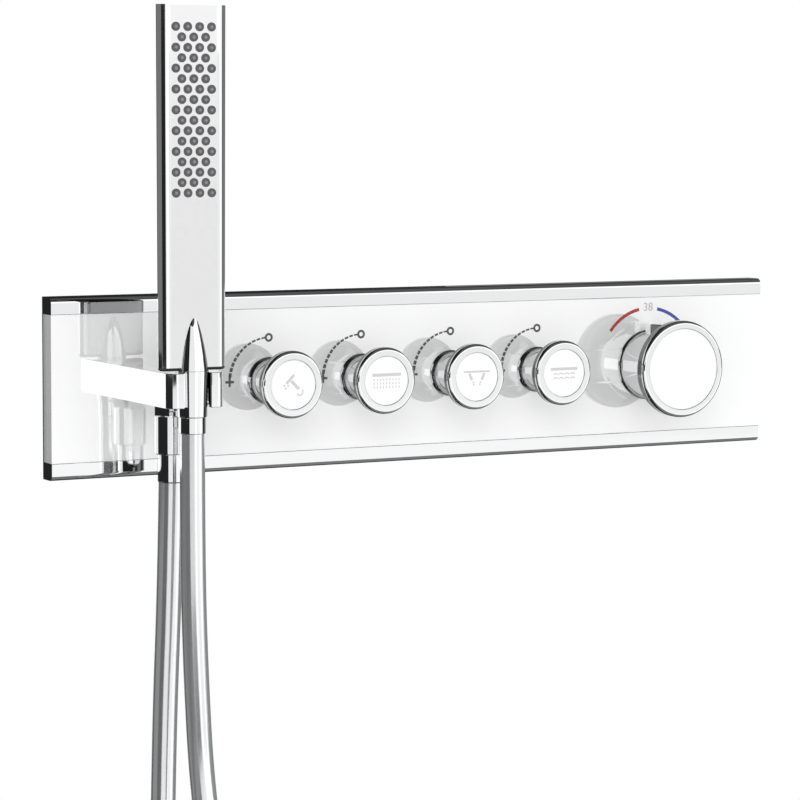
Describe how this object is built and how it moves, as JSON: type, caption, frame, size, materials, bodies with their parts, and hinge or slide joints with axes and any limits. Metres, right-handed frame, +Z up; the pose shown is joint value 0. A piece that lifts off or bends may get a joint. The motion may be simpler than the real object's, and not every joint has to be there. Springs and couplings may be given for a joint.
{
  "type": "thermostatic shower mixer",
  "caption": "Wall panel shower mixer with volume knobs, a thermostat knob with a safety stop, and a hand shower on a hose in its holder.",
  "frame": {"origin": "middle of the panel's back, on the wall", "axes": "+X along the panel to the thermostat, +Y into the wall, +Z up"},
  "size_m": [0.492, 0.2814, 0.7928],
  "materials": {
    "panel_glass": "polished white glass",
    "chrome": "polished chrome",
    "spray_face": "satin chrome",
    "white_inset": "gloss white",
    "carrier_plastic": "moulded",
    "rubber": "moulded",
    "nozzle_rubber": "silicone",
    "button_plastic": "moulded",
    "hose_silver": "smooth silver",
    "brass": "cast and turned",
    "cartridge_plastic": "moulded",
    "steel": "galvanised"
  },
  "bodies": {
    "mixer": {"panel_plate": "panel_glass", "top_bar": "chrome", "bottom_bar": "chrome", "holder_arm": "chrome", "hose_outlet": "chrome", "outlet_nut": "chrome", "outlet_sleeve": "chrome", "panel_carrier": "carrier_plastic", "panel_gasket": "rubber", "outlet_washer": "rubber", "hose_rear": "hose_silver", "valve_body": "brass", "holder_stub": "brass", "thermostat_cartridge": "cartridge_plastic", "check_valves": "cartridge_plastic", "hose_check_valve": "cartridge_plastic", "volume_cartridge_1": "cartridge_plastic", "volume_cartridge_2": "cartridge_plastic", "volume_cartridge_3": "cartridge_plastic", "volume_cartridge_4": "cartridge_plastic", "mounting_plate": "steel", "body_screws": "steel", "panel_studs": "steel", "thermostat_spring": "steel"},
    "volume_valve_1": {"volume_knob_1": "chrome", "volume_cap_1": "white_inset", "volume_screw_1": "steel", "volume_spindle_1": "brass"},
    "volume_valve_2": {"volume_knob_2": "chrome", "volume_cap_2": "white_inset", "volume_screw_2": "steel", "volume_spindle_2": "brass"},
    "volume_valve_3": {"volume_knob_3": "chrome", "volume_cap_3": "white_inset", "volume_screw_3": "steel", "volume_spindle_3": "brass"},
    "volume_valve_4": {"volume_knob_4": "chrome", "volume_cap_4": "white_inset", "volume_screw_4": "steel", "volume_spindle_4": "brass"},
    "thermostat": {"thermostat_knob": "chrome", "thermostat_cap": "white_inset", "thermostat_screw": "steel", "thermostat_spindle": "brass", "safety_spring": "steel"},
    "mixing_element": {"thermostat_element": "brass"},
    "stop_button": {"safety_button": "button_plastic"},
    "hand_shower": {"handset_body": "chrome", "handset_face": "spray_face", "handset_nozzles": "nozzle_rubber", "handset_connector": "chrome", "flow_restrictor": "cartridge_plastic", "cone_nut": "chrome", "cone_washer": "rubber", "cone_collar": "chrome", "hose_front": "hose_silver"}
  },
  "joints": [
    {"name": "volume_turn_1", "type": "hinge", "parent": "mixer", "child": "volume_valve_1", "pos_m": [-0.1079, 0, 0], "axis": [0, -1, 0], "range_deg": [0, 90]},
    {"name": "volume_turn_2", "type": "hinge", "parent": "mixer", "child": "volume_valve_2", "pos_m": [-0.0461, 0, 0], "axis": [0, -1, 0], "range_deg": [0, 90]},
    {"name": "volume_turn_3", "type": "hinge", "parent": "mixer", "child": "volume_valve_3", "pos_m": [0.0157, 0, 0], "axis": [0, -1, 0], "range_deg": [0, 90]},
    {"name": "volume_turn_4", "type": "hinge", "parent": "mixer", "child": "volume_valve_4", "pos_m": [0.0775, 0, 0], "axis": [0, -1, 0], "range_deg": [0, 90]},
    {"name": "thermostat_turn", "type": "hinge", "parent": "mixer", "child": "thermostat", "pos_m": [0.1597, 0, 0], "axis": [0, -1, 0], "range_deg": [-52, 52]},
    {"name": "element_slide", "type": "slide", "parent": "mixer", "child": "mixing_element", "axis": [0, 1, 0], "range_m": [-0.0006, 0.0006], "deforming": ["thermostat_spring"]},
    {"name": "stop_press", "type": "slide", "parent": "thermostat", "child": "stop_button", "axis": [0, 0, -1], "range_m": [0, 0.0025], "stiffness_N_per_m": 400, "springref_m": -0.002, "deforming": ["safety_spring"]},
    {"name": "hand_shower_lift", "type": "slide", "parent": "mixer", "child": "hand_shower", "axis": [0, 0, 1], "range_m": [0, 0.04]}
  ],
  "couplings": [
    {"joint": "element_slide", "follows": "thermostat_turn", "m_per_rad": 0.00063662}
  ]
}
